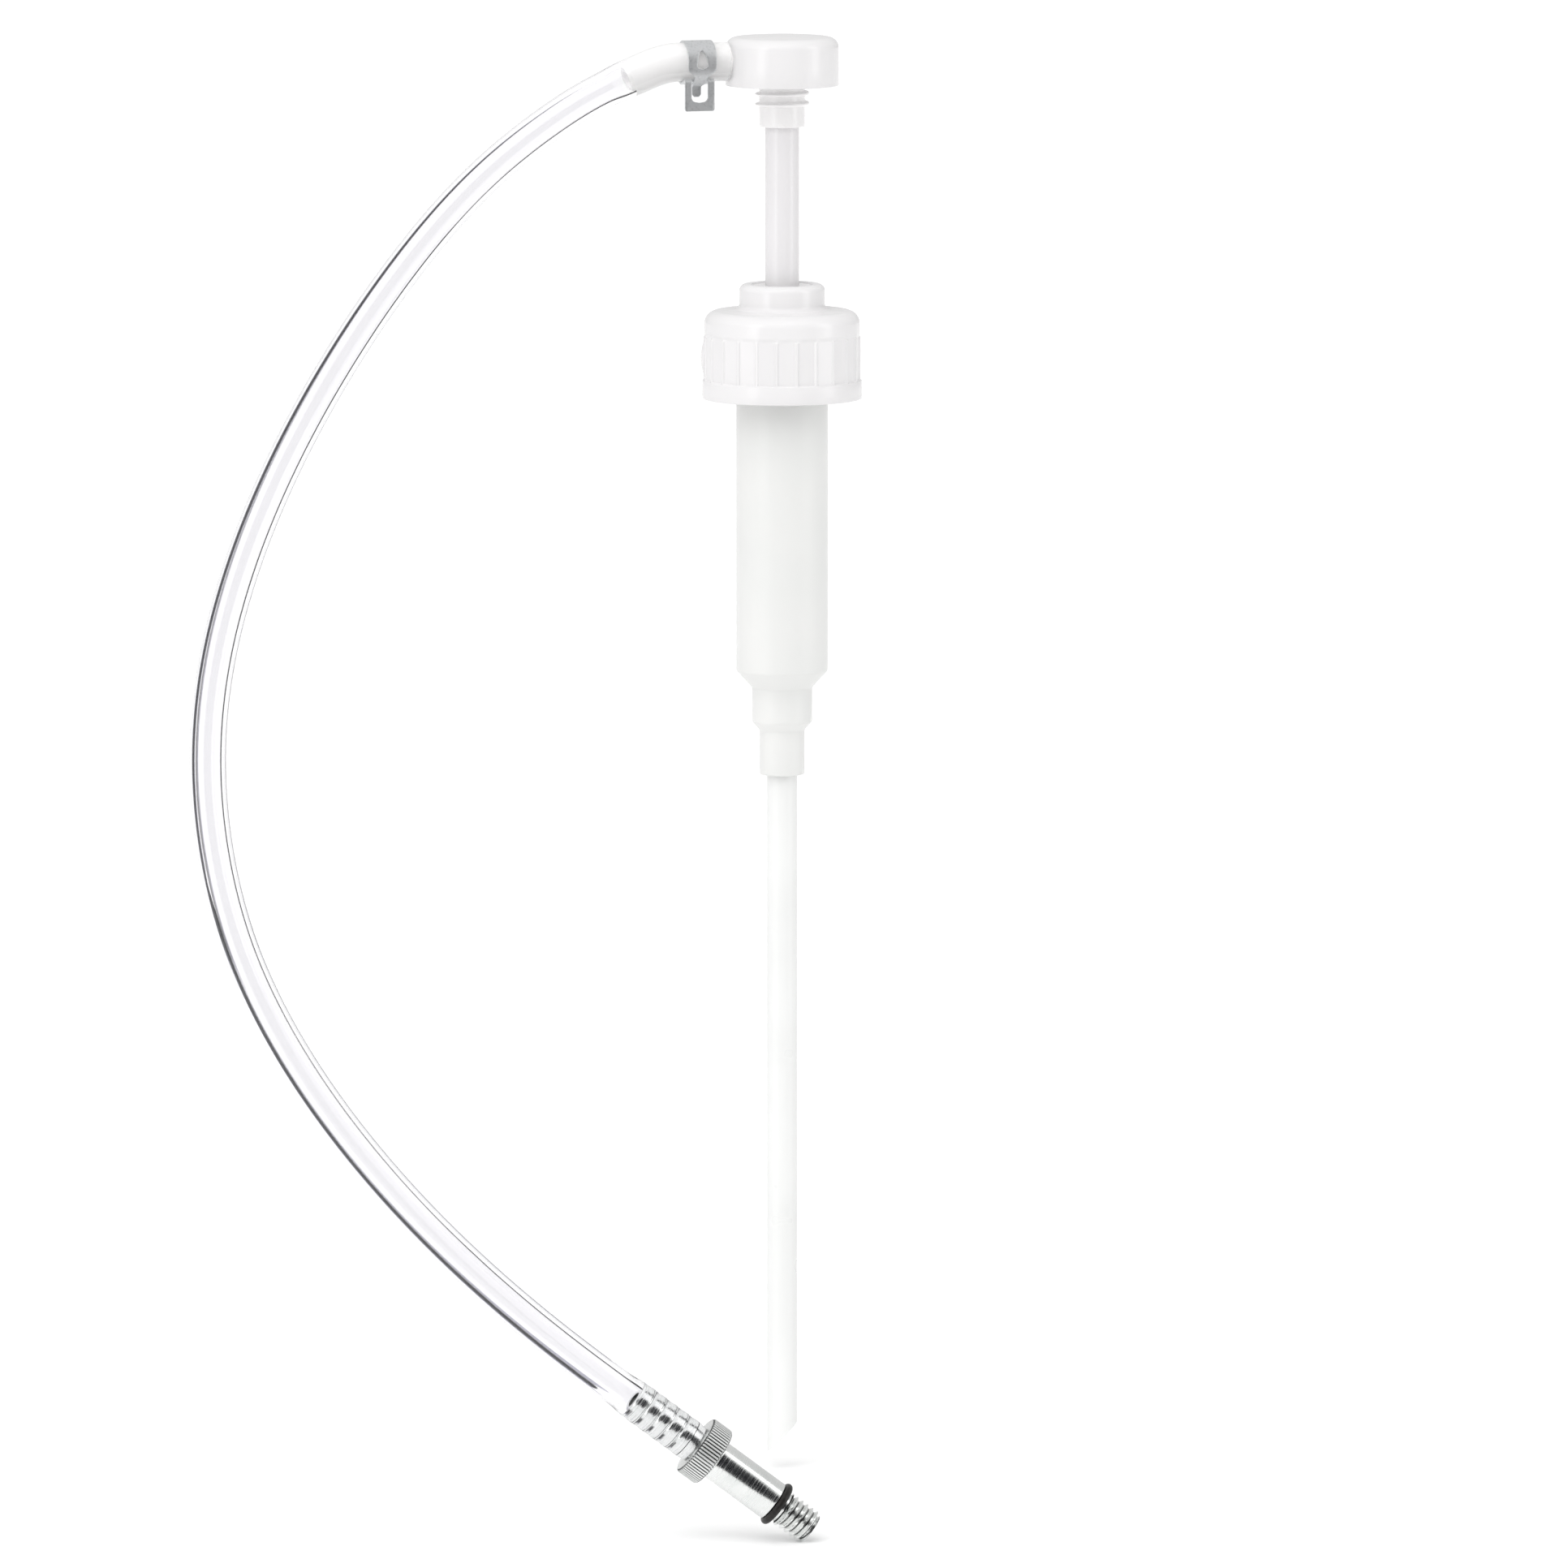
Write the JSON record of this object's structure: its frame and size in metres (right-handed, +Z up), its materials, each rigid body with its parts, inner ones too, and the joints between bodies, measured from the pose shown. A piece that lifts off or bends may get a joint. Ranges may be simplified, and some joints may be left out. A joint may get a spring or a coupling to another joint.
{
  "type": "gear oil pump",
  "caption": "Hand plunger pump that screws on a one-gallon bottle neck, with a clear delivery hose ending in a threaded gearcase adapter.",
  "frame": {"origin": "centre of the bottle's rim, on the pump's axis: the underside of the neck gasket", "axes": "+Z up the pump's axis, towards the head; the spout points to -X, turned 17 degrees towards -Y"},
  "size_m": [0.1729, 0.1274, 0.3801],
  "materials": {
    "white_plastic": "satin white moulded polypropylene",
    "stem_plastic": "smooth off-white polypropylene",
    "collar_plastic": "uncoloured, slightly translucent polypropylene",
    "natural_plastic": "uncoloured milky polypropylene",
    "dip_tube_plastic": "milky extruded polyethylene",
    "foam": "closed-cell foam sheet",
    "seal": "soft moulded seal",
    "clear_vinyl": "clear extruded flexible vinyl",
    "galvanised": "dull galvanised strip with scuffs",
    "zinc": "bright zinc-plated turned steel",
    "stainless": "bright stainless steel",
    "nitrile": "black rubber"
  },
  "bodies": {
    "housing": {"pump_barrel": "natural_plastic", "neck_gasket": "foam", "stem_guide": "natural_plastic", "stem_wiper": "seal", "dip_tube": "dip_tube_plastic", "inlet_valve_cage": "natural_plastic", "return_spring": "stainless"},
    "cap": {"screw_cap": "white_plastic"},
    "hose_end": {"hose_barb": "zinc", "adapter_body": "zinc", "adapter_o_ring": "nitrile"},
    "plunger": {"pump_head": "white_plastic", "lock_collar": "collar_plastic", "plunger_stem": "stem_plastic", "piston": "natural_plastic", "piston_seal": "seal", "outlet_valve_retainer": "natural_plastic", "hose_clamp": "galvanised", "delivery_hose": "clear_vinyl"},
    "inlet_check": {"inlet_ball": "stainless"},
    "outlet_check": {"outlet_ball": "stainless"}
  },
  "joints": [
    {"name": "cap_spin", "type": "hinge", "parent": "housing", "child": "cap", "pos_m": [0, 0, 0], "axis": [0, 0, 1], "continuous": true},
    {"name": "head_swivel", "type": "hinge", "parent": "housing", "child": "hose_end", "pos_m": [0, 0, 0], "axis": [0, 0, 1], "continuous": true},
    {"name": "pump_stroke", "type": "slide", "parent": "hose_end", "child": "plunger", "axis": [0, 0, -1], "range_m": [0, 0.046], "stiffness_N_per_m": 217, "springref_m": -0.046, "deforming": ["return_spring", "delivery_hose"]},
    {"name": "inlet_lift", "type": "slide", "parent": "housing", "child": "inlet_check", "axis": [0, 0, 1], "range_m": [0, 0.002]},
    {"name": "outlet_lift", "type": "slide", "parent": "plunger", "child": "outlet_check", "axis": [0, 0, 1], "range_m": [0, 0.002]}
  ]
}
